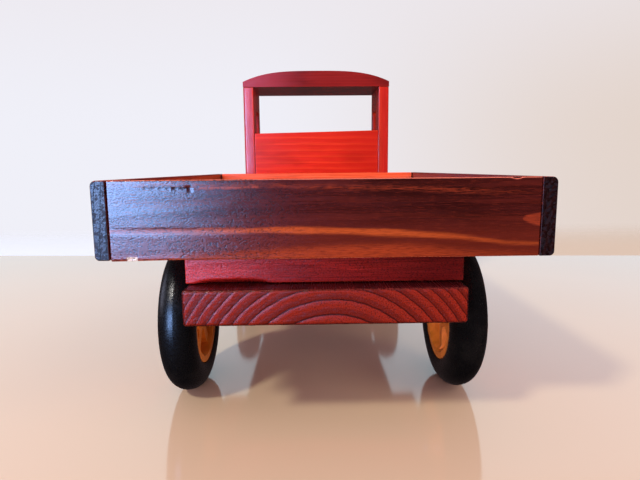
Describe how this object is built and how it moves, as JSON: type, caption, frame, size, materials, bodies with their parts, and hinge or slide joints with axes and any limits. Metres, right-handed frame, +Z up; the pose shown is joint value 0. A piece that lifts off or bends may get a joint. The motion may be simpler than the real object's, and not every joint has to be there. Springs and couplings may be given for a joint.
{
  "type": "toy flatbed truck",
  "caption": "Stained pine toy truck with an open dropside tray, an open-windowed cab, a bonnet, and rubber-tyred wheels that roll freely on steel axle rods.",
  "frame": {"origin": "on the floor under the middle of the truck's bounding box", "axes": "+X to the truck's right, +Y forward from the tailboard to the bumper, +Z up"},
  "size_m": [0.1924, 0.4134, 0.2226],
  "materials": {
    "red_stained_pine": "satin varnish over red stain",
    "crimson_stained_pine": "satin varnish over crimson stain",
    "dark_stained_pine": "satin varnish over dark red-brown stain",
    "black_rubber": "smooth satin moulded rubber",
    "amber_plastic": "moulded amber plastic",
    "bright_steel": "bright drawn rod",
    "zinc_plated_steel": "zinc plate"
  },
  "bodies": {
    "truck": {"front_bumper": "red_stained_pine", "headboard": "red_stained_pine", "tray_floor": "red_stained_pine", "cab_floor": "red_stained_pine", "cab_back_panel": "red_stained_pine", "cab_front_panel": "red_stained_pine", "cab_side_left": "red_stained_pine", "cab_side_right": "red_stained_pine", "cab_roof": "red_stained_pine", "bonnet": "red_stained_pine", "radiator_grille": "red_stained_pine", "rear_axle_block": "red_stained_pine", "front_axle_block": "red_stained_pine", "chassis_plank": "crimson_stained_pine", "rear_bolster": "crimson_stained_pine", "front_bolster": "crimson_stained_pine", "tailboard": "dark_stained_pine", "tray_side_left": "dark_stained_pine", "tray_side_right": "dark_stained_pine", "headlight_left": "amber_plastic", "headlight_right": "amber_plastic", "axle_cap_rear_left": "bright_steel", "axle_cap_rear_right": "bright_steel", "axle_cap_front_left": "bright_steel", "axle_cap_front_right": "bright_steel", "rear_axle": "bright_steel", "front_axle": "bright_steel", "washer_rear_left": "zinc_plated_steel", "washer_rear_right": "zinc_plated_steel", "washer_front_left": "zinc_plated_steel", "washer_front_right": "zinc_plated_steel", "chassis_screw_1": "zinc_plated_steel", "chassis_screw_2": "zinc_plated_steel", "chassis_screw_3": "zinc_plated_steel", "chassis_screw_4": "zinc_plated_steel", "chassis_screw_5": "zinc_plated_steel", "chassis_screw_6": "zinc_plated_steel", "axle_block_screw_1": "zinc_plated_steel", "axle_block_screw_2": "zinc_plated_steel", "axle_block_screw_3": "zinc_plated_steel", "axle_block_screw_4": "zinc_plated_steel", "tray_screw_1": "zinc_plated_steel", "tray_screw_2": "zinc_plated_steel", "tray_screw_3": "zinc_plated_steel", "tray_screw_4": "zinc_plated_steel", "bumper_screw_1": "zinc_plated_steel", "bumper_screw_2": "zinc_plated_steel"},
    "wheel_rear_left": {"hub_rear_left": "amber_plastic", "tyre_rear_left": "black_rubber"},
    "wheel_rear_right": {"hub_rear_right": "amber_plastic", "tyre_rear_right": "black_rubber"},
    "wheel_front_left": {"hub_front_left": "amber_plastic", "tyre_front_left": "black_rubber"},
    "wheel_front_right": {"hub_front_right": "amber_plastic", "tyre_front_right": "black_rubber"}
  },
  "joints": [
    {"name": "wheel_rear_left_spin", "type": "hinge", "parent": "truck", "child": "wheel_rear_left", "pos_m": [-0.0797, -0.11535, 0.04488], "axis": [1, 0, 0], "continuous": true},
    {"name": "wheel_rear_right_spin", "type": "hinge", "parent": "truck", "child": "wheel_rear_right", "pos_m": [0.0797, -0.11535, 0.04488], "axis": [1, 0, 0], "continuous": true},
    {"name": "wheel_front_left_spin", "type": "hinge", "parent": "truck", "child": "wheel_front_left", "pos_m": [-0.0797, 0.15335, 0.04488], "axis": [1, 0, 0], "continuous": true},
    {"name": "wheel_front_right_spin", "type": "hinge", "parent": "truck", "child": "wheel_front_right", "pos_m": [0.0797, 0.15335, 0.04488], "axis": [1, 0, 0], "continuous": true}
  ]
}
